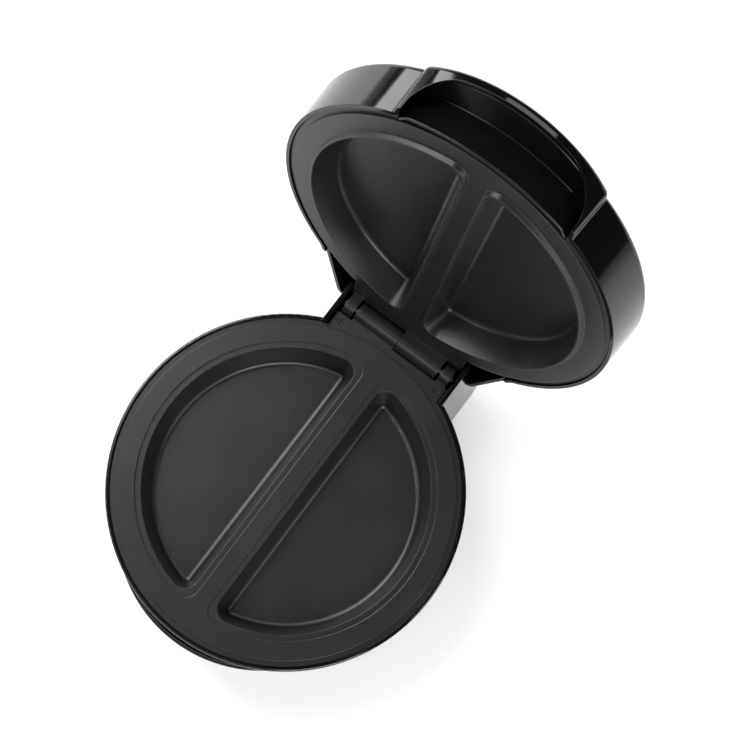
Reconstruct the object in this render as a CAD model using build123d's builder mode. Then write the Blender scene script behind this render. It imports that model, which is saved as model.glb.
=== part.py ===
from build123d import *
from math import asin, atan, cos, degrees, radians, sin, sqrt, tan
import os

os.makedirs("parts", exist_ok=True)

# X runs along the hinge, -Y is the handle side, Z is up and the table is Z = 0.
# The lid is modelled shut, over the base, and each of its pieces is then turned
# open about the hinge, because the open lid on its stop is the rest pose.

# ---------------------------------------------------------------- driving dimensions, mm
# Levels above the table
foot_height = 3.0
ring_level = 57.0
plate_gap = 2.0
lid_height = 35.0
lid_open_angle = 101.4

# Cooking plates
ring_radius = 89.2
ring_width = 10.2
flange_width = 2.8
flange_drop = 1.2
flange_thickness = 1.8
plate_wall = 2.4
divider_width = 8.8
pocket_corner = 8.0
pocket_draft = 18.0
pocket_fillet = 3.0
lower_pocket_depth = 16.0
upper_pocket_depth = 14.0
ridge_height = 2.4
ridge_foot = 3.0
ridge_draft = 24.0
seat_depth = 0.9
seat_clearance = 0.2
boss_radius = 4.0
boss_offset = 22.0

# Hinge
hinge_setback = 5.5
hinge_drop = 3.1
knuckle_radius = 5.8
pin_radius = 2.0
pin_clearance = 0.04
knuckle_length = 26.6
knuckle_gap = 0.5
lug_gap = 1.7
lug_length = 6.0
lug_depth = 8.0
ear_half_width = 36.0
ear_thickness = 3.0
ear_gap = 0.7
leaf_gap = 0.4
ear_screw_x = 31.0
ear_screw_inset = 5.0
clip_radius = 3.6
clip_thickness = 0.6

# Base housing
rim_wall = 2.2
plate_clearance = 0.3
rim_drop = 0.6
rim_round = 1.2
housing_wall = 2.4
housing_bottom_inset = 16.5
housing_shoulder = 41.0
shoulder_run = 9.1
seat_width = 2.6
lip_width_radius = 78.5
lip_reach = 4.0
lip_drop = 12.0
lip_flare = 16.5
lip_round = 2.0
finger_groove_height = 6.5
finger_groove_depth = 2.5
finger_groove_angle = 42.0
post_radius = 3.6
post_height = 14.0
post_inset = 10.0
post_angles = (20, 160, 215, 325)
cover_thickness = 2.4
cover_clearance = 0.3
vent_count = 9
vent_length = 22.0
vent_width = 3.0
vent_pitch = 7.0

# Hinge tower of the base
cheek_wall = 2.5
cheek_clearance = 1.0
cheek_rise = 3.0
cheek_radius = 12.3
tower_flare = 7.2
tower_depth = 17.0
tower_round = 5.0

# Lid housing
lid_wall = 2.0
lid_edge_gap = 2.3
lid_draft = 3.2
skirt_inset = 0.2
crown_sag = 4.0
crown_round = 3.6
visor_reach = 10.9
visor_radius = 67.2
visor_half_width = 48.0
visor_notch_round = 3.0
arch_height = 24.5
arch_round = 18.0
hump_half_width = 44.3
hump_rear = 12.4
hump_spread = 22.6
hump_length = 52.0
hump_edge_gap = 5.0
hump_corner = 6.0
hump_junction = 14.0
lid_post_radius = 3.6
lid_post_angles = (45, 135, 225, 315)
stop_clearance = 0.3

# Handle insert
insert_wall = 1.6
insert_clearance = 0.3
insert_foot_gap = 3.3
insert_lean = 6.3
insert_depth = 25.2
insert_drop = 1.3
insert_cheek_flare = 3.6

# Heaters and sheet-metal reflectors
heater_radius = 3.25
heater_span = 40.0
heater_leg = 52.0
heater_bend_y = -8.0
bead_radius = 2.6
bead_length = 3.0
terminal_radius = 1.2
terminal_length = 6.0
reflector_thickness = 0.8
reflector_radius = 70.0
reflector_lip = 3.0

# Controls, wiring and fasteners
lamp_spacing = 18.0
lamp_radius = 3.0
lamp_y = -66.0
lamp_cap_height = 1.0
lamp_holder_depth = 8.0
lamp_holder_height = 3.0
thermostat_radius = 8.0
thermostat_height = 7.0
fuse_radius = 2.0
fuse_length = 11.0
terminal_block_size = (26.0, 11.0, 12.0)
terminal_hole_radius = 1.8
gland_radius = 5.0
gland_level = 16.0
gland_length = 13.0
gland_bore = 3.1
gland_flange = 1.6
foot_radius = 7.0
foot_recess = 1.0
front_foot = (42.0, -50.0)
rear_foot = (33.0, 101.0)
screw_head_radius = 2.65
screw_head_height = 1.3
screw_radius = 1.4
screw_length = 8.0
screw_cross = 0.7

# ---------------------------------------------------------------- derived places
flange_radius = ring_radius + flange_width
pocket_radius = ring_radius - ring_width
rim_radius = flange_radius + plate_clearance + rim_wall
rim_level = ring_level - rim_drop
housing_bottom_radius = rim_radius - housing_bottom_inset
shoulder_turn = atan(housing_bottom_inset / housing_shoulder)
shoulder_round = shoulder_run / tan(shoulder_turn / 2)
post_reach = housing_bottom_radius - post_inset
casting_core = ring_radius - 2 * ring_width
beyond = 3 * rim_radius
flange_level = ring_level - flange_drop
seat_level = flange_level - flange_thickness
hinge_y = rim_radius + hinge_setback
hinge_level = ring_level - hinge_drop
hinge_axis = Axis((0, hinge_y, hinge_level), (1, 0, 0))
ear_edge = hinge_y - knuckle_radius - ear_gap
ear_screw_y = rim_radius - ear_screw_inset
ear_bottom = flange_level - ear_thickness
cheek_inner = ear_half_width + cheek_clearance
cheek_outer = cheek_inner + cheek_wall
knuckle_start = knuckle_gap / 2
knuckle_end = knuckle_start + knuckle_length
lug_start = knuckle_end + lug_gap
lug_end = lug_start + lug_length
cover_top = foot_height + cover_thickness

upper_ring_level = ring_level + plate_gap
upper_flange_level = upper_ring_level + flange_drop
upper_seat_level = upper_flange_level + flange_thickness
lid_edge_level = ring_level + lid_edge_gap
ear_rise = upper_ring_level - hinge_level
upper_ear_edge = hinge_y - sqrt(max((knuckle_radius + leaf_gap) ** 2 - ear_rise**2, 0))
lid_crown_level = ring_level + lid_height
skirt_radius = rim_radius - skirt_inset
skirt_grown = skirt_radius + (lid_height - lid_edge_gap) * tan(radians(lid_draft))
crown_radius = (skirt_grown**2 + crown_sag**2) / (2 * crown_sag)
arch_level = ring_level + arch_height
hump_level = ring_level + hump_edge_gap
visor_front = rim_radius + visor_reach
arch_half_width = visor_half_width - lid_wall

lower_floor_underside = ring_level - lower_pocket_depth - plate_wall
upper_floor_back = upper_ring_level + upper_pocket_depth + plate_wall
lower_heater_level = lower_floor_underside - heater_radius
upper_heater_level = upper_floor_back + heater_radius
lower_reflector_level = lower_heater_level - heater_radius
upper_reflector_level = upper_heater_level + heater_radius

# The open lid rests with the back wall of its hump on the ledge of the tower.
open_turn = radians(lid_open_angle)


# Where a point of the shut lid's section goes when the lid is open, from the hinge.
def opened(y, z):
    return (y * cos(open_turn) + z * sin(open_turn), z * cos(open_turn) - y * sin(open_turn))


hump_edge_y = hump_rear + (hump_edge_gap - lid_edge_gap) * tan(radians(lid_draft))
stop_y, stop_z = opened(hump_edge_y, hump_level - hinge_level)
ledge_slope = 1 / tan(open_turn + radians(lid_draft))


# Height of the tower's ledge above the hinge, at a distance y behind the hinge.
def ledge_height(y):
    return stop_z - stop_clearance * sqrt(1 + ledge_slope**2) + (y - stop_y) * ledge_slope


# ---------------------------------------------------------------- shared forms
# Two half-moons either side of the divider, their corners rounded.
def half_moons(level, radius, divider, corner):
    with BuildSketch(Plane.XY.offset(level)) as moons:
        Circle(radius)
        with Locations((divider / 2 + radius, 0)):
            Rectangle(2 * radius, 2 * radius, mode=Mode.INTERSECT)
        fillet(moons.vertices(), corner)
        mirror(about=Plane.YZ)
    return moons.sketch


# A pair of pockets as solids: draughted walls and a rounded floor edge.
def pocket_forms(level, direction, radius, divider, corner, depth, floor_round):
    with BuildPart() as forms:
        mouths = half_moons(level, radius, divider, corner)
        extrude(mouths, amount=depth, dir=(0, 0, direction), taper=pocket_draft)
        floor_faces = forms.faces().filter_by(Axis.Z).group_by(Axis.Z)[-1 if direction > 0 else 0]
        fillet(floor_faces.edges(), floor_round)
    return forms.part


# A horseshoe heater: bent sheath, an insulating bead and a terminal at each end.
def horseshoe(level):
    with BuildPart() as element:
        with BuildLine(Plane.XY.offset(level)) as path:
            left = Line((-heater_span, heater_bend_y + heater_leg), (-heater_span, heater_bend_y))
            right_arc = TangentArc(left @ 1, (heater_span, heater_bend_y), tangent=left % 1)
            Line(right_arc @ 1, (heater_span, heater_bend_y + heater_leg))
        with BuildSketch(Plane(origin=path.line @ 0, z_dir=path.line % 0)):
            Circle(heater_radius)
        sweep()
        end_y = heater_bend_y + heater_leg
        with BuildSketch(Plane.XZ.offset(-end_y)):
            with Locations((-heater_span, level), (heater_span, level)):
                Circle(bead_radius)
        extrude(amount=-bead_length)
        with BuildSketch(Plane.XZ.offset(-end_y - bead_length)):
            with Locations((-heater_span, level), (heater_span, level)):
                Circle(terminal_radius)
        extrude(amount=-terminal_length)
    return element.part


# A shallow sheet-metal tray behind the heater, its rim turned towards the plate.
def reflector_tray(level, direction):
    with BuildPart() as tray:
        with BuildSketch(Plane.XY.offset(level)):
            Circle(reflector_radius)
        extrude(amount=reflector_thickness, dir=(0, 0, -direction))
        with BuildSketch(Plane.XY.offset(level - direction * reflector_thickness)):
            Circle(reflector_radius)
            Circle(reflector_radius - reflector_thickness, mode=Mode.SUBTRACT)
        extrude(amount=reflector_lip + reflector_thickness, dir=(0, 0, direction))
        with BuildSketch(Plane.XY.offset(level - direction * reflector_thickness)):
            with Locations((0, -boss_offset), (0, boss_offset)):
                Circle(screw_radius)
        extrude(amount=reflector_thickness, dir=(0, 0, direction), mode=Mode.SUBTRACT)
    return tray.part


# Cross-head screws: seat is the underside of the head, the shank runs along direction.
def screws(places, seat, direction, length):
    with BuildPart() as group:
        with BuildSketch(Plane.XY.offset(seat)):
            with Locations(*places):
                Circle(screw_head_radius)
        extrude(amount=screw_head_height, dir=(0, 0, -direction))
        with BuildSketch(Plane.XY.offset(seat)):
            with Locations(*places):
                Circle(screw_radius)
        extrude(amount=length, dir=(0, 0, direction))
        with BuildSketch(Plane.XY.offset(seat - direction * screw_head_height)):
            with Locations(*places):
                Rectangle(2 * screw_head_radius - screw_cross, screw_cross)
                Rectangle(screw_cross, 2 * screw_head_radius - screw_cross)
        extrude(amount=screw_head_height / 2, dir=(0, 0, direction), mode=Mode.SUBTRACT)
    return group.part


# Places on a circle round the plates' centre.
def places_round(reach, angles):
    return [(reach * cos(radians(a)), reach * sin(radians(a))) for a in angles]


ear_screw_places = [(-ear_screw_x, ear_screw_y), (ear_screw_x, ear_screw_y)]
reflector_screw_places = [(0, -boss_offset), (0, boss_offset)]
post_places = places_round(post_reach, post_angles)
foot_places = [(side * x, y) for x, y in (front_foot, rear_foot) for side in (-1, 1)]

# ---------------------------------------------------------------- base housing form
lip_level = ring_level - lip_drop
lip_y = lip_width_radius - rim_radius - lip_reach
lip_height = lip_level - foot_height
tower_rear = hinge_y + tower_depth
tower_front = hinge_y - 2 * tower_depth
cheek_top = ring_level + cheek_rise
step_y = stop_y - stop_clearance
cheek_end = degrees(asin((cheek_top - hinge_level) / cheek_radius))
step_angle = -degrees(asin(sqrt(1 - (step_y / cheek_radius) ** 2)))
well_front = ear_edge + ear_gap


# Side section of the tower: rear wall, ledge for the open lid and cheeks round the hinge.
def tower_section():
    with BuildSketch(Plane.YZ) as section:
        with BuildLine():
            cheek = CenterArc((hinge_y, hinge_level), cheek_radius, step_angle, cheek_end - step_angle)
            Polyline(
                cheek @ 1,
                (tower_front, cheek_top),
                (tower_front, foot_height),
                (tower_rear, foot_height),
                (tower_rear, hinge_level + ledge_height(tower_depth)),
                (hinge_y + step_y, hinge_level + ledge_height(step_y)),
                cheek @ 0,
            )
        make_face()
        fillet(section.vertices().sort_by(Axis.X)[-2:], tower_round)
    return section.sketch


# Front section of the tower, its sides leaning out towards the table.
def tower_front_section(wall):
    with BuildSketch(Plane.XZ.offset(-tower_rear - tower_depth)) as section:
        with BuildLine():
            Polyline(
                (cheek_outer - wall, cheek_top),
                (cheek_outer + tower_flare - wall, foot_height),
                (-cheek_outer - tower_flare + wall, foot_height),
                (-cheek_outer + wall, cheek_top),
                close=True,
            )
        make_face()
    return section.sketch


with BuildPart() as lip:
    with Locations((0, lip_y, foot_height)):
        Cone(
            lip_width_radius - lip_flare,
            lip_width_radius,
            lip_height,
            align=(Align.CENTER, Align.CENTER, Align.MIN),
        )
    fillet(lip.edges().group_by(Axis.Z)[-1], lip_round)

with BuildPart() as tower:
    extrude(tower_section(), amount=cheek_outer + tower_flare, both=True)
    extrude(tower_front_section(0), amount=beyond, mode=Mode.INTERSECT)

# Outer form of the base: bowl, finger lip and hinge tower
with BuildPart() as housing_outside:
    with BuildSketch(Plane.XZ) as bowl_section:
        with BuildLine():
            Polyline(
                (0, foot_height),
                (housing_bottom_radius, foot_height),
                (rim_radius, foot_height + housing_shoulder),
                (rim_radius, rim_level),
                (0, rim_level),
                close=True,
            )
        make_face()
        fillet(bowl_section.vertices().group_by(Axis.X)[-1].sort_by(Axis.Y)[0], shoulder_round)
        fillet(bowl_section.vertices().group_by(Axis.X)[-1].sort_by(Axis.Y)[-1], rim_round)
    revolve(axis=Axis.Z)
    add(lip.part)
    add(tower.part)

# ---------------------------------------------------------------- lid housing form
# Plan of the lid at its edge: round skirt, handle visor in front, hinge hump behind.
def lid_plan(inset):
    with BuildSketch() as visor:
        with Locations((0, visor_radius - visor_front)):
            Circle(visor_radius)
        Rectangle(2 * visor_half_width, visor_front, align=(Align.CENTER, Align.MAX), mode=Mode.INTERSECT)
    with BuildSketch() as hump:
        hump_y = hinge_y + hump_rear
        hump_front = hump_half_width + hump_length * tan(radians(hump_spread))
        with BuildLine():
            Polyline(
                (hump_half_width, hump_y),
                (hump_front, hump_y - hump_length),
                (-hump_front, hump_y - hump_length),
                (-hump_half_width, hump_y),
                close=True,
            )
        make_face()
        fillet(hump.vertices().group_by(Axis.Y)[-1], hump_corner)
    with BuildSketch() as plan:
        Circle(skirt_radius)
        add(visor.sketch)
        visor_rows = plan.vertices().group_by(Axis.Y)
        fillet(visor_rows[0] + visor_rows[1], visor_notch_round)
        add(hump.sketch)
        junctions = plan.vertices().filter_by_position(Axis.Y, skirt_radius / 2, hinge_y - hump_rear)
        fillet(junctions, hump_junction)
        if inset:
            offset(amount=-inset, mode=Mode.REPLACE)
    return plan.sketch


# The lid's closed form, drawn in by a wall for its inside: draughted sides, domed crown.
def lid_form(inset, edge_round):
    with BuildPart() as under_crown:
        with BuildSketch(Plane.XZ):
            with BuildLine():
                crown_centre = (0, lid_crown_level - inset - crown_radius)
                crown = CenterArc(crown_centre, crown_radius, 90, -degrees(asin(beyond / crown_radius)))
                Polyline(crown @ 1, (beyond, 0), (0, 0), crown @ 0)
            make_face()
        revolve(axis=Axis.Z)
    with BuildPart() as form:
        edge_plan = Pos(0, 0, lid_edge_level) * lid_plan(inset)
        extrude(edge_plan, amount=lid_height - lid_edge_gap, taper=-lid_draft)
        add(under_crown.part, mode=Mode.INTERSECT)
        fillet(form.faces().sort_by(Axis.Z)[-1].edges(), edge_round)
    return form.part


lid_outside = lid_form(0, crown_round)
lid_inside = lid_form(lid_wall, crown_round - lid_wall)

# The frame's origin is on the table, under the middle of the appliance with its lid open.
front_y = housing_outside.part.bounding_box().min.Y
back_y = lid_outside.rotate(hinge_axis, -lid_open_angle).bounding_box().max.Y
print("base centre stands at y", -(front_y + back_y) / 2)


# Puts a finished piece of the base in the frame.
def stand(piece):
    return piece.moved(Location((0, -(front_y + back_y) / 2, 0)))


# Turns a finished piece of the lid open and puts it in the frame.
def open_lid(piece):
    return stand(piece.rotate(hinge_axis, -lid_open_angle))


# ---------------------------------------------------------------- lower plate
# One casting: ring, flange, two pockets, the hinge ear, a long knuckle and an end lug.
lower_pockets = pocket_forms(
    ring_level,
    -1,
    pocket_radius - ridge_foot + seat_clearance,
    divider_width + 2 * ridge_foot - 2 * seat_clearance,
    pocket_corner,
    lower_pocket_depth,
    pocket_fillet,
)
lower_pocket_backs = pocket_forms(
    ring_level,
    -1,
    pocket_radius - ridge_foot + seat_clearance + plate_wall,
    divider_width + 2 * ridge_foot - 2 * seat_clearance - 2 * plate_wall,
    pocket_corner + plate_wall,
    lower_pocket_depth + plate_wall,
    pocket_fillet,
)
with BuildPart() as lower_plate:
    with BuildSketch(Plane.XY.offset(seat_level)):
        Circle(ring_radius)
    extrude(amount=ring_level - seat_level)
    with BuildSketch(Plane.XY.offset(seat_level)):
        Circle(flange_radius)
    extrude(amount=flange_thickness)
    # Hinge ear, level with the flange
    with BuildSketch(Plane.XY.offset(ear_bottom)):
        with Locations((0, ear_edge)):
            Rectangle(2 * ear_half_width, ear_edge - casting_core, align=(Align.CENTER, Align.MAX))
    extrude(amount=ear_thickness)
    # Long knuckle on the left, end lug on the right
    with BuildSketch(Plane.YZ.offset(-knuckle_end)):
        with Locations((hinge_y, hinge_level)):
            Circle(knuckle_radius)
        with Locations((hinge_y, ear_bottom)):
            Rectangle(knuckle_radius + 2 * ear_gap, ear_thickness, align=(Align.MAX, Align.MIN))
    extrude(amount=knuckle_length)
    with BuildSketch(Plane.YZ.offset(lug_start)):
        with Locations((hinge_y, hinge_level)):
            Circle(knuckle_radius)
            Rectangle(2 * knuckle_radius, lug_depth, align=(Align.CENTER, Align.MAX))
        with Locations((hinge_y, ear_bottom)):
            Rectangle(knuckle_radius + 2 * ear_gap, ear_thickness, align=(Align.MAX, Align.MIN))
    extrude(amount=lug_length)
    with BuildSketch(Plane.YZ.offset(-lug_end)):
        with Locations((hinge_y, hinge_level)):
            Circle(pin_radius + pin_clearance)
    extrude(amount=2 * lug_end, mode=Mode.SUBTRACT)
    # Seat that takes the sealing ridge of the upper plate, then the pockets
    add(lower_pocket_backs)
    seat_divider = divider_width - 2 * seat_clearance
    seat = half_moons(ring_level, pocket_radius + seat_clearance, seat_divider, pocket_corner)
    extrude(seat, amount=seat_depth, dir=(0, 0, -1), mode=Mode.SUBTRACT)
    add(lower_pockets, mode=Mode.SUBTRACT)
    # Bosses under the divider hold the reflector
    with BuildSketch(Plane.XY.offset(lower_reflector_level)):
        with Locations(*reflector_screw_places):
            Circle(boss_radius)
    extrude(amount=seat_level - lower_reflector_level)
    with BuildSketch(Plane.XY.offset(lower_reflector_level)):
        with Locations(*reflector_screw_places):
            Circle(screw_radius)
    extrude(amount=screw_length, mode=Mode.SUBTRACT)
    # Countersunk places of the two ear screws
    with BuildSketch(Plane.XY.offset(ear_bottom)):
        with Locations(*ear_screw_places):
            Circle(screw_radius + pin_clearance)
    extrude(amount=ear_thickness, mode=Mode.SUBTRACT)
    with BuildSketch(Plane.XY.offset(flange_level - screw_head_height)):
        with Locations(*ear_screw_places):
            Circle(screw_head_radius + pin_clearance)
    extrude(amount=screw_head_height, mode=Mode.SUBTRACT)
lower_plate.part = stand(lower_plate.part)
lower_plate.part.label = "lower_plate"
export_step(lower_plate.part, "parts/lower_plate.step")

# ---------------------------------------------------------------- base housing
with BuildPart() as tower_inside:
    with BuildSketch(Plane.YZ):
        with BuildLine():
            Polyline(
                (tower_front, foot_height),
                (tower_rear - housing_wall, foot_height),
                (tower_rear - housing_wall, hinge_level + ledge_height(tower_depth) - housing_wall),
                (well_front - housing_wall, hinge_level + ledge_height(well_front - hinge_y) - housing_wall),
                (well_front - housing_wall, ear_bottom - housing_wall),
                (tower_front, ear_bottom - housing_wall),
                close=True,
            )
        make_face()
    extrude(amount=cheek_outer + tower_flare, both=True)
    extrude(tower_front_section(housing_wall), amount=beyond, mode=Mode.INTERSECT)

# Posts that take the cover screws, each with a rib to the bowl
with BuildPart() as cover_posts:
    with BuildSketch(Plane.XY.offset(cover_top)):
        with Locations(*post_places):
            Circle(post_radius)
        with Locations(*[Location((x, y), a) for (x, y), a in zip(post_places, post_angles)]):
            Rectangle(2 * post_inset, housing_wall, align=(Align.MIN, Align.CENTER))
    extrude(amount=post_height)
    add(housing_outside.part, mode=Mode.INTERSECT)

with BuildPart() as base_shell:
    add(housing_outside.part)
    # Inside of the bowl, with a thicker seat under the plate's flange
    with BuildSketch(Plane.XZ):
        with BuildLine():
            Polyline(
                (0, foot_height),
                (housing_bottom_radius - housing_wall, foot_height),
                (rim_radius - housing_wall, foot_height + housing_shoulder),
                (flange_radius - seat_width, foot_height + housing_shoulder + seat_width),
                (flange_radius - seat_width, seat_level),
                (0, seat_level),
                close=True,
            )
        make_face()
    revolve(axis=Axis.Z, mode=Mode.SUBTRACT)
    with Locations((0, lip_y, foot_height)):
        Cone(
            lip_width_radius - lip_flare - housing_wall,
            lip_width_radius - housing_wall,
            lip_height - housing_wall,
            align=(Align.CENTER, Align.CENTER, Align.MIN),
            mode=Mode.SUBTRACT,
        )
    add(tower_inside.part, mode=Mode.SUBTRACT)
    # Well between the cheeks, and the seats of the hinge ear and of the plate
    with BuildSketch(Plane.YZ):
        with BuildLine():
            Polyline(
                (tower_front, ear_bottom),
                (well_front, ear_bottom),
                (well_front, hinge_level + ledge_height(well_front - hinge_y)),
                (tower_rear + tower_depth, hinge_level + ledge_height(2 * tower_depth)),
                (tower_rear + tower_depth, 2 * cheek_top),
                (tower_front, 2 * cheek_top),
                close=True,
            )
        make_face()
    extrude(amount=cheek_inner, both=True, mode=Mode.SUBTRACT)
    with BuildSketch(Plane.XY.offset(seat_level)):
        Circle(flange_radius + plate_clearance)
    extrude(amount=ring_level, mode=Mode.SUBTRACT)
    # Finger groove between the rim and the lip
    with BuildSketch(Plane.XY.offset(lip_level)):
        Circle(beyond)
        Circle(rim_radius - finger_groove_depth, mode=Mode.SUBTRACT)
        with BuildLine():
            side_x = beyond * sin(radians(finger_groove_angle))
            side_y = -beyond * cos(radians(finger_groove_angle))
            Polyline((0, 0), (side_x, side_y), (-side_x, side_y), close=True)
        make_face(mode=Mode.INTERSECT)
    extrude(amount=finger_groove_height, mode=Mode.SUBTRACT)
    # Posts of the cover screws and of the two ear screws
    add(cover_posts.part)
    with BuildSketch(Plane.XY.offset(ear_bottom)):
        with Locations(*ear_screw_places):
            Circle(post_radius)
    extrude(amount=-post_height)
    with BuildSketch(Plane.XY.offset(cover_top)):
        with Locations(*post_places):
            Circle(screw_radius + pin_clearance)
    extrude(amount=screw_length, mode=Mode.SUBTRACT)
    with BuildSketch(Plane.XY.offset(ear_bottom)):
        with Locations(*ear_screw_places):
            Circle(screw_radius + pin_clearance)
    extrude(amount=-screw_length, mode=Mode.SUBTRACT)
    # Hole of the cord gland in the rear wall
    with BuildSketch(Plane.XZ.offset(-tower_rear)):
        with Locations((0, gland_level)):
            Circle(gland_radius)
    extrude(amount=2 * housing_wall, mode=Mode.SUBTRACT)
base_shell.part = stand(base_shell.part)
base_shell.part.label = "base_shell"
export_step(base_shell.part, "parts/base_shell.step")

# ---------------------------------------------------------------- lid housing
plate_post_reach = (pocket_radius + flange_radius) / 2
plate_posts = places_round(plate_post_reach, lid_post_angles)
lamp_places = [(-lamp_spacing / 2, lamp_y), (lamp_spacing / 2, lamp_y)]
lamp_top = lid_crown_level - crown_sag * (lamp_y / skirt_grown) ** 2
lamp_under = lamp_top - lid_wall


# Outline of the arch under the visor, standing in a plane across the handle.
def arch_outline(y, half_width, top, bottom, corner):
    with BuildSketch(Plane.XZ.offset(-y)) as arch:
        with Locations((0, bottom)):
            Rectangle(2 * half_width, top - bottom, align=(Align.CENTER, Align.MIN))
        fillet(arch.vertices().group_by(Axis.Y)[-1], corner)
    return arch.sketch


# Posts behind the plate and for the two ear screws, reaching up to the crown
with BuildPart() as lid_posts:
    with BuildSketch(Plane.XY.offset(upper_seat_level)):
        with Locations(*plate_posts, *ear_screw_places):
            Circle(lid_post_radius)
    extrude(amount=lid_crown_level - upper_seat_level)
    add(lid_outside, mode=Mode.INTERSECT)

with BuildPart() as lid_shell:
    add(lid_outside)
    add(lid_inside, mode=Mode.SUBTRACT)
    # Arch that opens the visor above the handle insert
    extrude(
        arch_outline(-casting_core, arch_half_width, arch_level, ring_level, arch_round),
        amount=beyond,
        mode=Mode.SUBTRACT,
    )
    # The edge stands higher round the hinge hump
    with BuildSketch(Plane.XY.offset(ring_level)):
        with Locations((0, hinge_y - 2 * hump_rear)):
            Rectangle(2 * beyond, beyond, align=(Align.CENTER, Align.MIN))
    extrude(amount=hump_edge_gap, mode=Mode.SUBTRACT)
    add(lid_posts.part)
    with BuildSketch(Plane.XY.offset(upper_seat_level)):
        with Locations(*ear_screw_places):
            Circle(screw_radius + pin_clearance)
    extrude(amount=screw_length, mode=Mode.SUBTRACT)
    # Holes of the two lamps
    with BuildSketch(Plane.XY.offset(lamp_under - lid_wall)):
        with Locations(*lamp_places):
            Circle(lamp_radius + pin_clearance)
    extrude(amount=3 * lid_wall, mode=Mode.SUBTRACT)
lid_shell.part = open_lid(lid_shell.part)
lid_shell.part.label = "lid_shell"
export_step(lid_shell.part, "parts/lid_shell.step")

# ---------------------------------------------------------------- handle insert
insert_foot_radius = ring_radius + insert_foot_gap
insert_foot_level = ring_level + insert_drop
insert_top_level = arch_level - lid_wall
insert_side = arch_half_width - insert_clearance
insert_back_y = insert_depth - insert_foot_radius
insert_flare_y = -sqrt(visor_radius**2 - arch_half_width**2) + visor_radius - visor_front - lid_wall


# Cone of the insert's back wall, drawn in by a wall for its inner face.
def insert_cone(inset):
    with BuildPart() as cone:
        with BuildSketch(Plane.XZ):
            with BuildLine():
                Polyline(
                    (0, insert_foot_level - insert_wall),
                    (insert_foot_radius - inset, insert_foot_level - insert_wall),
                    (insert_foot_radius - inset, insert_foot_level),
                    (insert_foot_radius - insert_lean - inset, insert_top_level),
                    (insert_foot_radius - insert_lean - inset, 2 * arch_level),
                    (0, 2 * arch_level),
                    close=True,
                )
            make_face()
        revolve(axis=Axis.Z)
    return cone.part


# Space of the handle: narrow at the back wall, flaring to the arch in front.
def handle_space(grow):
    back = insert_side - insert_wall - insert_cheek_flare + grow
    front = insert_side - insert_wall + grow
    top = arch_level + grow
    corner = arch_round - insert_wall + grow
    with BuildPart() as space:
        add(arch_outline(insert_back_y, back, top, insert_foot_level, corner))
        add(arch_outline(insert_flare_y, front, top, insert_foot_level, corner))
        loft(ruled=True)
        extrude(arch_outline(insert_flare_y, front, top, insert_foot_level, corner), amount=beyond)
    return space.part


with BuildPart() as handle_recess:
    add(handle_space(0))
    add(insert_cone(0), mode=Mode.SUBTRACT)

with BuildPart() as handle_insert:
    add(handle_space(insert_wall))
    # It ends just behind the front wall of the visor
    with Locations((0, visor_radius - visor_front, lid_edge_level)):
        Cone(
            visor_radius - lid_wall - insert_clearance,
            visor_radius - lid_wall - insert_clearance + lid_height * tan(radians(lid_draft)),
            lid_height,
            align=(Align.CENTER, Align.CENTER, Align.MIN),
            mode=Mode.INTERSECT,
        )
    add(insert_cone(insert_wall), mode=Mode.SUBTRACT)
    add(handle_recess.part, mode=Mode.SUBTRACT)
handle_insert.part = open_lid(handle_insert.part)
handle_insert.part.label = "handle_insert"
export_step(handle_insert.part, "parts/handle_insert.step")

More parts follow.
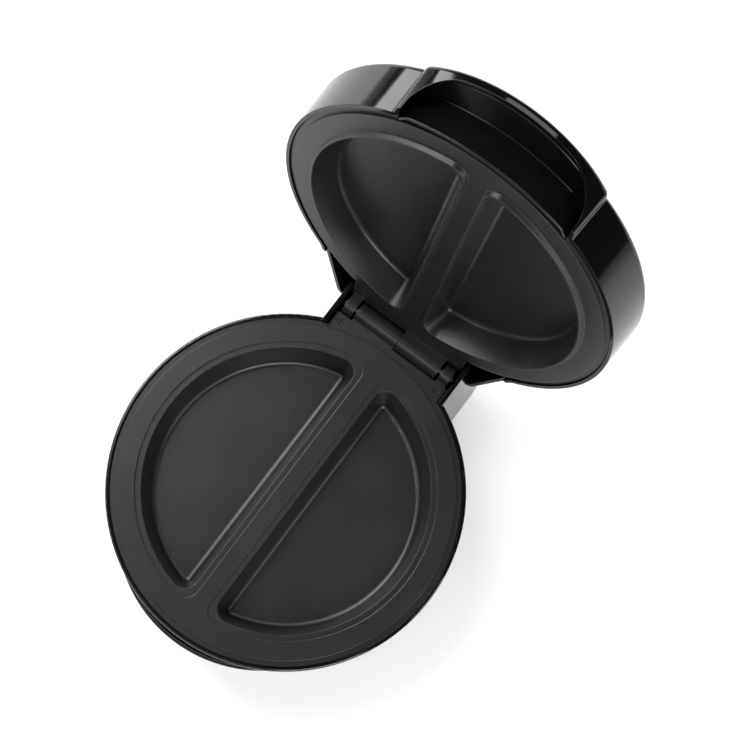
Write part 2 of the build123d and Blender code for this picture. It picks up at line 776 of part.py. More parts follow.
# ---------------------------------------------------------------- upper plate
# The same casting turned over: its long knuckle is on the right, its lug on the left.
ridge_tip_level = upper_ring_level - ridge_height
tip_inset = ridge_height * tan(radians(pocket_draft))
tip_radius = pocket_radius - ridge_foot + tip_inset
tip_divider = divider_width + 2 * ridge_foot - 2 * tip_inset
upper_pockets = pocket_forms(
    ridge_tip_level,
    1,
    tip_radius,
    tip_divider,
    pocket_corner,
    upper_pocket_depth + ridge_height,
    pocket_fillet,
)
upper_pocket_backs = pocket_forms(
    upper_ring_level,
    1,
    pocket_radius - ridge_foot + plate_wall,
    divider_width + 2 * ridge_foot - 2 * plate_wall,
    pocket_corner + plate_wall,
    upper_pocket_depth + plate_wall,
    pocket_fillet,
)
with BuildPart() as upper_plate:
    with BuildSketch(Plane.XY.offset(upper_flange_level)):
        Circle(flange_radius)
        # The flange is left off where the handle insert stands
        with Locations((0, -casting_core)):
            Rectangle(2 * arch_half_width, ring_radius, align=(Align.CENTER, Align.MAX), mode=Mode.SUBTRACT)
    extrude(amount=flange_thickness)
    with BuildSketch(Plane.XY.offset(upper_ring_level)):
        Circle(ring_radius)
    extrude(amount=upper_seat_level - upper_ring_level)
    # Hinge ear
    with BuildSketch(Plane.XY.offset(upper_ring_level)):
        with Locations((0, upper_ear_edge)):
            Rectangle(2 * ear_half_width, upper_ear_edge - casting_core, align=(Align.CENTER, Align.MAX))
    extrude(amount=ear_thickness)
    # Long knuckle on the right, end lug on the left
    web_top = upper_ring_level + ear_thickness - hinge_level
    with BuildSketch(Plane.YZ.offset(knuckle_start)):
        with Locations((hinge_y, hinge_level)):
            Circle(knuckle_radius)
            Rectangle(knuckle_radius, web_top, align=(Align.MAX, Align.MIN))
    extrude(amount=knuckle_length)
    with BuildSketch(Plane.YZ.offset(-lug_end)):
        with Locations((hinge_y, hinge_level)):
            Circle(knuckle_radius)
            Rectangle(2 * knuckle_radius, web_top, align=(Align.CENTER, Align.MIN))
    extrude(amount=lug_length)
    with BuildSketch(Plane.YZ.offset(-lug_end)):
        with Locations((hinge_y, hinge_level)):
            Circle(pin_radius + pin_clearance)
    extrude(amount=2 * lug_end, mode=Mode.SUBTRACT)
    # Sealing ridge round each pocket, then the pockets themselves
    add(upper_pocket_backs)
    extrude(
        half_moons(upper_ring_level, pocket_radius, divider_width, pocket_corner),
        amount=ridge_height,
        dir=(0, 0, -1),
        taper=ridge_draft,
    )
    add(upper_pockets, mode=Mode.SUBTRACT)
    # Bosses behind the divider hold the reflector
    with BuildSketch(Plane.XY.offset(upper_seat_level)):
        with Locations(*reflector_screw_places):
            Circle(boss_radius)
    extrude(amount=upper_reflector_level - upper_seat_level)
    with BuildSketch(Plane.XY.offset(upper_reflector_level)):
        with Locations(*reflector_screw_places):
            Circle(screw_radius)
    extrude(amount=-screw_length, mode=Mode.SUBTRACT)
    # Countersunk places of the two ear screws
    with BuildSketch(Plane.XY.offset(upper_ring_level)):
        with Locations(*ear_screw_places):
            Circle(screw_radius + pin_clearance)
    extrude(amount=ear_thickness, mode=Mode.SUBTRACT)
    with BuildSketch(Plane.XY.offset(upper_ring_level)):
        with Locations(*ear_screw_places):
            Circle(screw_head_radius + pin_clearance)
    extrude(amount=screw_head_height, mode=Mode.SUBTRACT)
upper_plate.part = open_lid(upper_plate.part)
upper_plate.part.label = "upper_plate"
export_step(upper_plate.part, "parts/upper_plate.step")

# ---------------------------------------------------------------- heaters and reflectors
with BuildPart() as lower_heater:
    add(horseshoe(lower_heater_level))
lower_heater.part = stand(lower_heater.part)
lower_heater.part.label = "lower_heater"
export_step(lower_heater.part, "parts/lower_heater.step")

with BuildPart() as upper_heater:
    add(horseshoe(upper_heater_level))
upper_heater.part = open_lid(upper_heater.part)
upper_heater.part.label = "upper_heater"
export_step(upper_heater.part, "parts/upper_heater.step")

with BuildPart() as lower_reflector:
    add(reflector_tray(lower_reflector_level, 1))
lower_reflector.part = stand(lower_reflector.part)
lower_reflector.part.label = "lower_reflector"
export_step(lower_reflector.part, "parts/lower_reflector.step")

with BuildPart() as upper_reflector:
    add(reflector_tray(upper_reflector_level, -1))
upper_reflector.part = open_lid(upper_reflector.part)
upper_reflector.part.label = "upper_reflector"
export_step(upper_reflector.part, "parts/upper_reflector.step")

# ---------------------------------------------------------------- hinge pin and clips
with BuildPart() as hinge_pin:
    pin_half = lug_end + 2 * clip_thickness
    with BuildSketch(Plane.YZ.offset(-pin_half)):
        with Locations((hinge_y, hinge_level)):
            Circle(pin_radius)
    extrude(amount=2 * pin_half)
hinge_pin.part = stand(hinge_pin.part)
hinge_pin.part.label = "hinge_pin"
export_step(hinge_pin.part, "parts/hinge_pin.step")

with BuildPart() as pin_clips:
    for clip_x in (-lug_end - clip_thickness - pin_clearance, lug_end + pin_clearance):
        with BuildSketch(Plane.YZ.offset(clip_x)):
            with Locations((hinge_y, hinge_level)):
                Circle(clip_radius)
                Circle(pin_radius, mode=Mode.SUBTRACT)
        extrude(amount=clip_thickness)
pin_clips.part = stand(pin_clips.part)
pin_clips.part.label = "pin_clips"
export_step(pin_clips.part, "parts/pin_clips.step")

# ---------------------------------------------------------------- bottom cover and feet
with BuildPart() as bottom_cover:
    with BuildSketch(Plane.XY.offset(foot_height)):
        Circle(housing_bottom_radius - housing_wall - cover_clearance)
        with Locations((0, lip_y)):
            Circle(lip_width_radius - lip_flare - housing_wall - cover_clearance)
        with Locations((0, tower_rear - housing_wall - cover_clearance)):
            Rectangle(
                2 * (cheek_outer + tower_flare - housing_wall - 2 * cover_clearance),
                tower_rear - tower_front - housing_wall - 2 * cover_clearance,
                align=(Align.CENTER, Align.MAX),
            )
    extrude(amount=cover_thickness)
    # Air slots
    with BuildSketch(Plane.XY.offset(foot_height)):
        with GridLocations(vent_pitch, 0, vent_count, 1):
            SlotOverall(vent_length, vent_width, rotation=90)
    extrude(amount=cover_thickness, mode=Mode.SUBTRACT)
    # Recesses of the feet and of the cover screws
    with BuildSketch(Plane.XY.offset(foot_height)):
        with Locations(*foot_places):
            Circle(foot_radius + pin_clearance)
    extrude(amount=foot_recess, mode=Mode.SUBTRACT)
    with BuildSketch(Plane.XY.offset(foot_height)):
        with Locations(*post_places):
            Circle(screw_head_radius + pin_clearance)
    extrude(amount=screw_head_height, mode=Mode.SUBTRACT)
    with BuildSketch(Plane.XY.offset(foot_height)):
        with Locations(*post_places):
            Circle(screw_radius + pin_clearance)
    extrude(amount=cover_thickness, mode=Mode.SUBTRACT)
bottom_cover.part = stand(bottom_cover.part)
bottom_cover.part.label = "bottom_cover"
export_step(bottom_cover.part, "parts/bottom_cover.step")

with BuildPart() as rubber_feet:
    with BuildSketch(Plane.XY):
        with Locations(*foot_places):
            Circle(foot_radius)
    extrude(amount=foot_height + foot_recess)
    chamfer(rubber_feet.faces().sort_by(Axis.Z)[0:4].edges(), foot_recess)
rubber_feet.part = stand(rubber_feet.part)
rubber_feet.part.label = "rubber_feet"
export_step(rubber_feet.part, "parts/rubber_feet.step")

# ---------------------------------------------------------------- controls and wiring ends
with BuildPart() as thermostat:
    thermostat_top = lower_reflector_level - reflector_thickness
    with BuildSketch(Plane.XY.offset(thermostat_top)):
        Circle(thermostat_radius)
        Rectangle(3 * thermostat_radius, thermostat_radius)
    extrude(amount=-reflector_thickness)
    with BuildSketch(Plane.XY.offset(thermostat_top)):
        Circle(thermostat_radius)
    extrude(amount=-thermostat_height)
    with BuildSketch(Plane.XY.offset(thermostat_top - thermostat_height)):
        with Locations((-thermostat_radius / 2, 0), (thermostat_radius / 2, 0)):
            Rectangle(reflector_thickness, thermostat_radius * 0.8)
    extrude(amount=-thermostat_height)
thermostat.part = stand(thermostat.part)
thermostat.part.label = "thermostat"
export_step(thermostat.part, "parts/thermostat.step")

with BuildPart() as thermal_fuse:
    with BuildSketch(Plane.XZ.offset(fuse_length / 2)):
        with Locations((3 * thermostat_radius, thermostat_top - fuse_radius)):
            Circle(fuse_radius)
    extrude(amount=-fuse_length)
thermal_fuse.part = stand(thermal_fuse.part)
thermal_fuse.part.label = "thermal_fuse"
export_step(thermal_fuse.part, "parts/thermal_fuse.step")

with BuildPart() as terminal_block:
    block_width, block_depth, block_height = terminal_block_size
    block_y = hinge_y - tower_depth
    with BuildSketch(Plane.XY.offset(cover_top)):
        with Locations((0, block_y)):
            Rectangle(block_width, block_depth)
    extrude(amount=block_height)
    with BuildSketch(Plane.XY.offset(cover_top + block_height)):
        with Locations((0, block_y)):
            with GridLocations(block_width / 3, 0, 3, 1):
                Circle(terminal_hole_radius)
    extrude(amount=-block_height / 2, mode=Mode.SUBTRACT)
terminal_block.part = stand(terminal_block.part)
terminal_block.part.label = "terminal_block"
export_step(terminal_block.part, "parts/terminal_block.step")

with BuildPart() as cord_gland:
    gland_inner = Plane.XZ.offset(-(tower_rear - housing_wall - gland_flange))
    with BuildSketch(gland_inner):
        with Locations((0, gland_level)):
            Circle(gland_radius + gland_flange)
    extrude(amount=-gland_flange)
    with BuildSketch(gland_inner):
        with Locations((0, gland_level)):
            Circle(gland_radius)
    extrude(amount=-(2 * gland_flange + housing_wall))
    with BuildSketch(Plane.XZ.offset(-tower_rear)):
        with Locations((0, gland_level)):
            Circle(gland_radius + gland_flange / 2)
    with BuildSketch(Plane.XZ.offset(-tower_rear - gland_length)):
        with Locations((0, gland_level)):
            Circle(gland_radius - gland_flange / 2)
    loft()
    with BuildSketch(gland_inner):
        with Locations((0, gland_level)):
            Circle(gland_bore)
    extrude(amount=-(gland_length + 2 * gland_flange + housing_wall), mode=Mode.SUBTRACT)
cord_gland.part = stand(cord_gland.part)
cord_gland.part.label = "cord_gland"
export_step(cord_gland.part, "parts/cord_gland.step")

# ---------------------------------------------------------------- lamps in the lid
with BuildPart() as lamp_holder:
    with BuildSketch(Plane.XY.offset(lamp_under - lid_wall)):
        with Locations((0, lamp_y)):
            Rectangle(lamp_spacing + 4 * lamp_radius, lamp_holder_depth)
    extrude(amount=-lamp_holder_height)
lamp_holder.part = open_lid(lamp_holder.part)
lamp_holder.part.label = "lamp_holder"
export_step(lamp_holder.part, "parts/lamp_holder.step")


# Lens of a lamp: a pin through the crown that stands on the holder.
def lamp_lens(x):
    with BuildPart() as lens:
        with BuildSketch(Plane.XY.offset(lamp_under - lid_wall)):
            with Locations((x, lamp_y)):
                Circle(lamp_radius)
        extrude(amount=2 * lid_wall + lamp_cap_height)
        chamfer(lens.faces().sort_by(Axis.Z)[-1].edges(), lamp_cap_height / 2)
    return open_lid(lens.part)


with BuildPart() as power_lens:
    add(lamp_lens(-lamp_spacing / 2))
power_lens.part.label = "power_lens"
export_step(power_lens.part, "parts/power_lens.step")

with BuildPart() as ready_lens:
    add(lamp_lens(lamp_spacing / 2))
ready_lens.part.label = "ready_lens"
export_step(ready_lens.part, "parts/ready_lens.step")

# ---------------------------------------------------------------- screws
with BuildPart() as lower_ear_screws:
    add(screws(ear_screw_places, flange_level - screw_head_height, -1, screw_length))
lower_ear_screws.part = stand(lower_ear_screws.part)
lower_ear_screws.part.label = "lower_ear_screws"
export_step(lower_ear_screws.part, "parts/lower_ear_screws.step")

with BuildPart() as upper_ear_screws:
    add(screws(ear_screw_places, upper_ring_level + screw_head_height, 1, screw_length))
upper_ear_screws.part = open_lid(upper_ear_screws.part)
upper_ear_screws.part.label = "upper_ear_screws"
export_step(upper_ear_screws.part, "parts/upper_ear_screws.step")

with BuildPart() as lower_reflector_screws:
    add(screws(reflector_screw_places, lower_reflector_level - reflector_thickness, 1, screw_length))
lower_reflector_screws.part = stand(lower_reflector_screws.part)
lower_reflector_screws.part.label = "lower_reflector_screws"
export_step(lower_reflector_screws.part, "parts/lower_reflector_screws.step")

with BuildPart() as upper_reflector_screws:
    add(screws(reflector_screw_places, upper_reflector_level + reflector_thickness, -1, screw_length))
upper_reflector_screws.part = open_lid(upper_reflector_screws.part)
upper_reflector_screws.part.label = "upper_reflector_screws"
export_step(upper_reflector_screws.part, "parts/upper_reflector_screws.step")

with BuildPart() as cover_screws:
    add(screws(post_places, foot_height + screw_head_height, 1, screw_length))
cover_screws.part = stand(cover_screws.part)
cover_screws.part.label = "cover_screws"
export_step(cover_screws.part, "parts/cover_screws.step")
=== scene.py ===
import math

import bpy
from mathutils import Matrix, Vector


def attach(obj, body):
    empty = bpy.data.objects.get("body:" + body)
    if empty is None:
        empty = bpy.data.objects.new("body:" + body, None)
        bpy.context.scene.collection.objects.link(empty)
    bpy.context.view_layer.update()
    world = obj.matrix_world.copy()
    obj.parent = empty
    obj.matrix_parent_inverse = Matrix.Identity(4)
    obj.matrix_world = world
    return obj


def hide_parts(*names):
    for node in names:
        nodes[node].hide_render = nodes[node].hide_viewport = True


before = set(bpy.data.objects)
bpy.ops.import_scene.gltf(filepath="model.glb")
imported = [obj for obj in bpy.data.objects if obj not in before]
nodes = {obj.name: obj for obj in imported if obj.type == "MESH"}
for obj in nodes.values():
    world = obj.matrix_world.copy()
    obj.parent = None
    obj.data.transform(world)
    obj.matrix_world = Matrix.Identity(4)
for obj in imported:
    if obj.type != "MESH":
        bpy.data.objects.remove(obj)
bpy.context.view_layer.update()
perMetre = 1000.0  # millimetres
print("frame loaded, nodes:", len(nodes))


# a shader socket whose sums and products add their own Math nodes
class Wire:
    def __init__(self, paint, socket):
        self.paint, self.socket = paint, socket

    def math(self, operation, *values):
        return self.paint.add("ShaderNodeMath", {"operation": operation}, dict(enumerate(values)))

    def __add__(self, other):
        return self.math("ADD", self, other)

    def __radd__(self, other):
        return self.math("ADD", other, self)

    def __sub__(self, other):
        return self.math("SUBTRACT", self, other)

    def __rsub__(self, other):
        return self.math("SUBTRACT", other, self)

    def __mul__(self, other):
        return self.math("MULTIPLY", self, other)

    def __rmul__(self, other):
        return self.math("MULTIPLY", other, self)

    # 0 below low, 1 above high, straight between
    def span(self, low, high):
        ranged = {"Value": self, "From Min": low, "From Max": high}
        return self.paint.add("ShaderNodeMapRange", {"clamp": True}, ranged)


# one material and its nodes
class Paint:
    def __init__(self, name):
        self.material = bpy.data.materials.new(name)
        self.material.use_nodes = True
        self.tree = self.material.node_tree
        self.shader = self.tree.nodes["Principled BSDF"]
        where = self.add("ShaderNodeTexCoord", out="Object")
        scaled = {0: where, "Scale": perMetre}
        self.place = self.add("ShaderNodeVectorMath", {"operation": "SCALE"}, scaled)  # in mm

    def put(self, socket, value):
        if isinstance(value, Wire):
            self.tree.links.new(value.socket, socket)
        elif socket.type == "RGBA" and len(value) == 3:
            socket.default_value = (*value, 1.0)
        else:
            socket.default_value = value

    # any node: its type, its settings, then the values or links of its sockets
    def add(self, kind, settings=None, sockets=None, out=0):
        made = self.tree.nodes.new(kind)
        for key, value in (settings or {}).items():
            setattr(made, key, value)
        for key, value in (sockets or {}).items():
            self.put(made.inputs[key], value)
        return Wire(self, made.outputs[out])

    def noise(self, scale, detail=2.0, rough=0.5, place=None):
        sockets = {"Vector": place or self.place, "Scale": scale, "Detail": detail, "Roughness": rough}
        return self.add("ShaderNodeTexNoise", None, sockets)

    def stretch(self, x, y, z):
        stretched = {0: self.place, 1: (x, y, z)}
        return self.add("ShaderNodeVectorMath", {"operation": "MULTIPLY"}, stretched)

    def blend(self, factor, first, second):
        sockets = {0: factor, 6: first, 7: second}
        return self.add("ShaderNodeMix", {"data_type": "RGBA"}, sockets, out=2)

    def softEdge(self, radius):
        return self.add("ShaderNodeBevel", {"samples": 6}, {"Radius": radius / perMetre})

    # 1 on sharp edges, 0 on faces
    def edgeMask(self, soft, low, high):
        flat = self.add("ShaderNodeNewGeometry", out="Normal")
        both = {0: soft, 1: flat}
        alike = self.add("ShaderNodeVectorMath", {"operation": "DOT_PRODUCT"}, both, out="Value")
        return (1 - alike).span(low, high)

    def bump(self, height, depth, normal=None):
        sockets = {"Height": height, "Distance": depth / perMetre, "Strength": 1.0}
        if normal:
            sockets["Normal"] = normal
        return self.add("ShaderNodeBump", None, sockets)

    def finish(self, **sockets):
        for key, value in sockets.items():
            self.put(self.shader.inputs[key.replace("_", " ")], value)
        return self.material


# glossy moulded black of both housings
glossy = {
    "colour": (0.0028, 0.0028, 0.003),
    "bloom": (0.005, 0.005, 0.0053),
    "roughness": 0.055,
    "roughnessSpread": 0.04,
    "waves": 0.012,  # mm, slow sink marks of the moulding
    "dust": 0.35,
    "dustColour": (0.05, 0.05, 0.052),
    "fineGrain": 0.0012,
    "edgeRadius": 0.35,
}


def glossyBlack():
    p = Paint("glossyBlack")
    soft = p.softEdge(glossy["edgeRadius"])
    cloud = p.noise(0.02, 3.0, 0.6)
    fine = p.noise(1.6, 4.0, 0.65)
    speck = p.noise(2.4, 0.0).span(0.80, 0.86) * glossy["dust"]
    colour = p.blend(cloud.span(0.3, 0.7), glossy["colour"], glossy["bloom"])
    colour = p.blend(speck, colour, glossy["dustColour"])
    spread = cloud.span(0.35, 0.75) * glossy["roughnessSpread"]
    rough = glossy["roughness"] + spread + fine * 0.03 + speck * 0.3
    waves = p.noise(0.045, 1.0)
    relief = p.bump(waves, glossy["waves"], soft)
    relief = p.bump(fine, glossy["fineGrain"], relief)
    return p.finish(Base_Color=colour, Roughness=rough, Normal=relief, IOR=1.5,
                    Specular_IOR_Level=0.5)


# satin black of the handle's block
satin = {
    "colour": (0.0035, 0.0035, 0.0037),
    "bloom": (0.0055, 0.0055, 0.0058),
    "roughness": 0.14,
    "grain": 0.006,
    "edgeRadius": 0.3,
}


def satinBlack():
    p = Paint("satinBlack")
    soft = p.softEdge(satin["edgeRadius"])
    cloud = p.noise(0.05, 3.0, 0.6)
    grain = p.noise(3.0, 3.0, 0.7)
    colour = p.blend(cloud.span(0.3, 0.7), satin["colour"], satin["bloom"])
    rough = satin["roughness"] + cloud * 0.06 + grain * 0.06
    relief = p.bump(grain, satin["grain"], soft)
    return p.finish(Base_Color=colour, Roughness=rough, Normal=relief)


# cooking plates and their hinge castings: sprayed coating over blasted aluminium
coating = {
    "colour": (0.0095, 0.0095, 0.0098),
    "bloom": (0.0145, 0.0145, 0.0149),
    "fleck": (0.075, 0.075, 0.077),
    # edge colour: partly rubbed coating, partly a painted highlight on the rims and ridges
    "edge": (0.055, 0.055, 0.057),
    "roughness": 0.3,
    "grain": 0.04,
    "edgeRadius": 0.55,
}


def sprayedCoating():
    p = Paint("sprayedCoating")
    soft = p.softEdge(coating["edgeRadius"])
    grain = p.noise(2.6, 3.0, 0.6)  # about 0.4 mm
    fleck = p.noise(1.9, 1.0).span(0.64, 0.74)
    cloud = p.noise(0.03, 3.0, 0.55)
    colour = p.blend(cloud.span(0.25, 0.75), coating["colour"], coating["bloom"])
    colour = p.blend(fleck * 0.55, colour, coating["fleck"])
    # lighter edges: partly wear, partly a painted highlight along the rims and ridges
    edge = p.edgeMask(soft, 0.03, 0.18) * p.noise(0.5, 3.0, 0.7).span(0.3, 0.6)
    colour = p.blend(edge * 0.6, colour, coating["edge"])
    rough = coating["roughness"] + cloud * 0.08 - fleck * 0.1 - edge * 0.08
    relief = p.bump(grain, coating["grain"], soft)
    return p.finish(Base_Color=colour, Roughness=rough, Normal=relief)


# moulded black without gloss: bottom cover, terminal block, lamp holder
dull = {
    "colour": (0.014, 0.014, 0.0145),
    "bloom": (0.019, 0.019, 0.02),
    "roughness": 0.55,
    "grain": 0.05,
    "edgeRadius": 0.3,
}


def dullBlack():
    p = Paint("dullBlack")
    soft = p.softEdge(dull["edgeRadius"])
    grain = p.noise(1.4, 3.0, 0.7)
    cloud = p.noise(0.04, 2.0)
    colour = p.blend(cloud, dull["colour"], dull["bloom"])
    rough = dull["roughness"] + grain * 0.12
    relief = p.bump(grain, dull["grain"], soft)
    return p.finish(Base_Color=colour, Roughness=rough, Normal=relief)


# feet and cord gland
rubber = {
    "colour": (0.012, 0.012, 0.0125),
    "bloom": (0.03, 0.03, 0.031),
    "roughness": 0.75,
    "grain": 0.02,
    "edgeRadius": 0.3,
}


def softRubber():
    p = Paint("softRubber")
    soft = p.softEdge(rubber["edgeRadius"])
    bloom = p.noise(0.15, 4.0, 0.7).span(0.45, 0.75)
    grain = p.noise(4.0, 2.0, 0.6)
    colour = p.blend(bloom * 0.6, rubber["colour"], rubber["bloom"])
    rough = rubber["roughness"] + grain * 0.12 - bloom * 0.06
    relief = p.bump(grain, rubber["grain"], soft)
    return p.finish(Base_Color=colour, Roughness=rough, Normal=relief)


# blackened screws and clips
blackened = {
    "colour": (0.02, 0.02, 0.021),
    "bare": (0.22, 0.215, 0.21),
    "roughness": 0.34,
    "metallic": 0.35,
    "grain": 0.006,
    "edgeRadius": 0.18,
}


def blackenedSteel():
    p = Paint("blackenedSteel")
    soft = p.softEdge(blackened["edgeRadius"])
    edge = p.edgeMask(soft, 0.05, 0.25) * p.noise(1.5, 3.0, 0.7).span(0.4, 0.6)
    grain = p.noise(6.0, 3.0, 0.6)
    colour = p.blend(edge * 0.5, blackened["colour"], blackened["bare"])
    rough = blackened["roughness"] + grain * 0.15 - edge * 0.1
    metallic = blackened["metallic"] + edge * 0.5
    relief = p.bump(grain, blackened["grain"], soft)
    return p.finish(Base_Color=colour, Roughness=rough, Metallic=metallic, Normal=relief)


# heater sheaths and the hinge pin
sheath = {
    "colour": (0.20, 0.185, 0.17),
    "tint": (0.085, 0.06, 0.045),
    "roughness": 0.32,
    "metallic": 0.9,
    "grain": 0.008,
}


def heatedSteel():
    p = Paint("heatedSteel")
    tint = p.noise(0.05, 4.0, 0.6).span(0.35, 0.7)
    drawn = p.noise(2.2, 3.0, 0.6)
    colour = p.blend(tint, sheath["colour"], sheath["tint"])
    rough = sheath["roughness"] + tint * 0.2 + drawn * 0.08
    relief = p.bump(drawn, sheath["grain"])
    return p.finish(Base_Color=colour, Roughness=rough, Metallic=sheath["metallic"], Normal=relief)


# reflectors, thermostat and fuse
sheetMetal = {
    "colour": (0.62, 0.63, 0.64),
    "stain": (0.42, 0.41, 0.39),
    "roughness": 0.28,
    "grain": 0.006,
}


def rolledAluminium():
    p = Paint("rolledAluminium")
    lines = p.noise(1.0, 4.0, 0.7, p.stretch(0.05, 4.0, 4.0))
    stain = p.noise(0.04, 3.0, 0.6).span(0.4, 0.75)
    colour = p.blend(stain * 0.6, sheetMetal["colour"], sheetMetal["stain"])
    rough = sheetMetal["roughness"] + lines * 0.18 + stain * 0.08
    relief = p.bump(lines, sheetMetal["grain"])
    return p.finish(Base_Color=colour, Roughness=rough, Metallic=1.0, Normal=relief)


# the two lamp lenses
lens = {
    "power": (0.55, 0.012, 0.008),
    "ready": (0.02, 0.36, 0.05),
    "roughness": 0.1,
    "ribs": 0.05,
    "depth": 0.45,  # share of the colour in the deeper parts
    "clear": 0.35,
    "edgeRadius": 0.25,
}


def lampLens(name, colour):
    p = Paint(name)
    soft = p.softEdge(lens["edgeRadius"])
    depth = p.noise(0.35, 3.0, 0.6)
    deep = tuple(lens["depth"] * part for part in colour)
    tint = p.blend(depth.span(0.3, 0.7), colour, deep)
    rough = lens["roughness"] + p.noise(1.2, 3.0).span(0.4, 0.8) * 0.12
    relief = p.bump(depth, lens["ribs"], soft)
    return p.finish(Base_Color=tint, Roughness=rough, Transmission_Weight=lens["clear"], IOR=1.49,
                    Normal=relief)


def dress(material, *names):
    for name in names:
        for slot in nodes[name].material_slots:
            slot.material = material


dress(glossyBlack(), "base_shell", "lid_shell")
dress(sprayedCoating(), "lower_plate", "upper_plate")
dress(dullBlack(), "bottom_cover", "terminal_block", "lamp_holder")
dress(softRubber(), "rubber_feet", "cord_gland")
dress(blackenedSteel(), "lower_ear_screws", "upper_ear_screws", "cover_screws", "pin_clips")
dress(heatedSteel(), "lower_heater", "upper_heater", "hinge_pin",
      "lower_reflector_screws", "upper_reflector_screws")
dress(rolledAluminium(), "lower_reflector", "upper_reflector", "thermostat", "thermal_fuse")
dress(lampLens("redLens", lens["power"]), "power_lens")
dress(lampLens("greenLens", lens["ready"]), "ready_lens")
print("finishes on the parts")


# the handle's block: bowed front, slanted ends and the flat roof of the finger space
gripBlock = {
    "low": 59.5, "high": 81.5,  # mm above the table, lid shut
    "centre": 11.6, "radius": 104.0, "lean": 8.2,
    "half": 42.3,
    "endOut": 3.4, "endBack": 4.4, "endTaper": 0.7,
    "visorCentre": -38.2, "visorRadius": 65.4,
    "wall": 1.6, "round": 0.55, "roundSteps": 3, "roundFrom": 24,  # degrees
    "columns": 14,  # to each side of the middle
    "frontSteps": 8, "roofSteps": 4,
    "plateY": -37.7396,  # frame place of the plates' centre
    "hinge": (62.2604, 53.9), "turn": -101.4,
}


def makeGripBlock():
    g = gripBlock
    columns = g["columns"]
    across = [g["half"] * step / columns for step in range(-columns, columns + 1)]
    rows = []
    for step in range(g["frontSteps"] + 1):
        t = step / g["frontSteps"]
        level = g["low"] + (g["high"] - g["low"]) * t
        radius = g["radius"] - g["lean"] * t
        taper = 1 - g["endTaper"] * t
        row = [(x, g["centre"] - math.sqrt(radius ** 2 - x ** 2), level) for x in across]
        side = (g["half"] + g["endOut"] * taper, row[0][1] + g["endBack"] * taper, level)
        rows.append([(-side[0], side[1], level)] + row + [side])
    top = rows[-1]
    for step in range(1, g["roofSteps"] + 1):
        row = []
        for x, y, level in top:
            inside = g["visorCentre"] - math.sqrt(g["visorRadius"] ** 2 - x ** 2)
            row.append((x, y + (inside - y) * step / g["roofSteps"], level))
        rows.append(row)
    width = len(rows[0])
    points = [(x / perMetre, (y + g["plateY"]) / perMetre, z / perMetre)
              for row in rows for x, y, z in row]
    faces = []
    for low in range(len(rows) - 1):
        for side in range(width - 1):
            first = low * width + side
            faces.append((first, first + 1, first + 1 + width, first + width))
    mesh = bpy.data.meshes.new("gripBlock")
    mesh.from_pydata(points, [], faces)
    pivot = Vector((0, g["hinge"][0] / perMetre, g["hinge"][1] / perMetre))
    turned = Matrix.Rotation(math.radians(g["turn"]), 4, "X")
    mesh.transform(Matrix.Translation(pivot) @ turned @ Matrix.Translation(-pivot))
    mesh.polygons.foreach_set("use_smooth", [True] * len(mesh.polygons))
    block = bpy.data.objects.new("gripBlock", mesh)
    bpy.context.scene.collection.objects.link(block)
    wall = block.modifiers.new("wall", "SOLIDIFY")
    wall.thickness = g["wall"] / perMetre
    wall.offset = -1
    rounding = block.modifiers.new("rounding", "BEVEL")
    rounding.width = g["round"] / perMetre
    rounding.segments = g["roundSteps"]
    rounding.limit_method = "ANGLE"
    rounding.angle_limit = math.radians(g["roundFrom"])
    rounding.harden_normals = True
    mesh.materials.append(satinBlack())
    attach(block, "lid")
    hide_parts("handle_insert")


makeGripBlock()
print("handle block in place")


# pale sweep under the appliance
studio = {
    "floorSize": 6.0,
    "floorColour": (0.80, 0.80, 0.80),
    "floorRoughness": 0.9,
    "floorGlow": 0.34,  # what the camera and the mirrors see on top of the lit colour
    "worldColour": (0.95, 0.97, 1.0),
    "worldStrength": 0.02,
    "backdrop": 1.0,
    "aim": (0.0, 0.0, 0.08),  # what every lamp points at
}


def paleFloor():
    size = studio["floorSize"] / 2
    mesh = bpy.data.meshes.new("floor")
    corners = [(-size, -size, 0), (size, -size, 0), (size, size, 0), (-size, size, 0)]
    mesh.from_pydata(corners, [], [(0, 1, 2, 3)])
    floor = bpy.data.objects.new("floor", mesh)
    bpy.context.scene.collection.objects.link(floor)
    p = Paint("paleFloor")
    path = p.tree.nodes.new("ShaderNodeLightPath")
    rays = [Wire(p, path.outputs[ray]) for ray in ("Is Camera Ray", "Is Glossy Ray", "Is Transmission Ray")]
    seen = rays[0] + rays[1] + rays[2]
    strength = seen.math("MINIMUM", seen, 1.0) * studio["floorGlow"]
    glow = p.add("ShaderNodeEmission", None, {"Color": (1.0, 1.0, 1.0), "Strength": strength})
    p.finish(Base_Color=studio["floorColour"], Roughness=studio["floorRoughness"],
             Specular_IOR_Level=0.0)
    both = p.add("ShaderNodeAddShader", None, {0: Wire(p, p.shader.outputs[0]), 1: glow})
    p.put(p.tree.nodes["Material Output"].inputs["Surface"], both)
    mesh.materials.append(p.material)


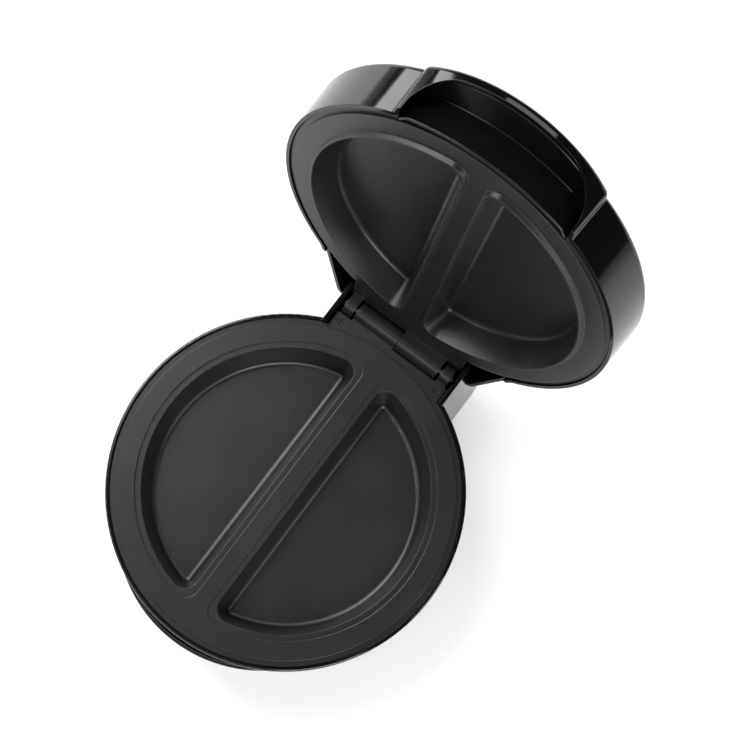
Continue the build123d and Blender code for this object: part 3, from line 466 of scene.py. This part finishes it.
def plainWorld():
    world = bpy.data.worlds.new("plainWorld")
    world.use_nodes = True
    tree = world.node_tree
    lit = tree.nodes["Background"]
    lit.inputs["Color"].default_value = (*studio["worldColour"], 1)
    lit.inputs["Strength"].default_value = studio["worldStrength"]
    white = tree.nodes.new("ShaderNodeBackground")
    white.inputs["Strength"].default_value = studio["backdrop"]
    path = tree.nodes.new("ShaderNodeLightPath")
    choose = tree.nodes.new("ShaderNodeMixShader")
    tree.links.new(path.outputs["Is Camera Ray"], choose.inputs[0])
    tree.links.new(lit.outputs[0], choose.inputs[1])
    tree.links.new(white.outputs[0], choose.inputs[2])
    tree.links.new(choose.outputs[0], tree.nodes["World Output"].inputs["Surface"])
    bpy.context.scene.world = world


# softboxes: place, size and power
lamps = {
    "leftHigh": {"at": (-0.9, 0.2, 1.3), "size": (0.7, 0.9), "power": 14.0},
    "leftLow": {"at": (-1.2, 0.4, 0.6), "size": (0.8, 0.8), "power": 11.5},
    "back": {"at": (0.0, 0.9, 1.3), "size": (1.0, 0.5), "power": 4.0},
    "rightLow": {"at": (1.3, 0.1, 0.6), "size": (0.4, 1.0), "power": 4.7},
    "front": {"at": (0.0, -0.9, 1.4), "size": (1.2, 0.6), "power": 4.5},
    "rightFront": {"at": (0.9, -0.8, 1.0), "size": (0.7, 0.7), "power": 12.5},
    "leftFront": {"at": (-0.9, -0.8, 1.0), "size": (0.7, 0.7), "power": 3.0},
}


def softbox(name):
    given = lamps[name]
    light = bpy.data.lights.new(name, "AREA")
    light.shape = "RECTANGLE"
    light.size, light.size_y = given["size"]
    light.energy = given["power"]
    holder = bpy.data.objects.new(name, light)
    holder.location = given["at"]
    toward = Vector(studio["aim"]) - Vector(given["at"])
    holder.rotation_euler = toward.to_track_quat("-Z", "Y").to_euler()
    bpy.context.scene.collection.objects.link(holder)


# the photograph's view: high over the front, turned to the left
cameraPlace = {
    "at": (0.073601, -0.138840, 0.919695),
    "turn": (12.391335, -2.891354, 36.505103),
    "lens": 81.27,
    "sensor": 36.0,
    "nearest": 0.05,
}


def photoCamera():
    camera = bpy.data.cameras.new("photoCamera")
    camera.lens = cameraPlace["lens"]
    camera.sensor_width = cameraPlace["sensor"]
    camera.clip_start = cameraPlace["nearest"]
    holder = bpy.data.objects.new("photoCamera", camera)
    holder.location = cameraPlace["at"]
    holder.rotation_euler = [math.radians(angle) for angle in cameraPlace["turn"]]
    bpy.context.scene.collection.objects.link(holder)
    bpy.context.scene.camera = holder


paleFloor()
plainWorld()
for name in lamps:
    softbox(name)
photoCamera()
bpy.context.scene.view_settings.view_transform = "Standard"
print("studio, lights and camera set")
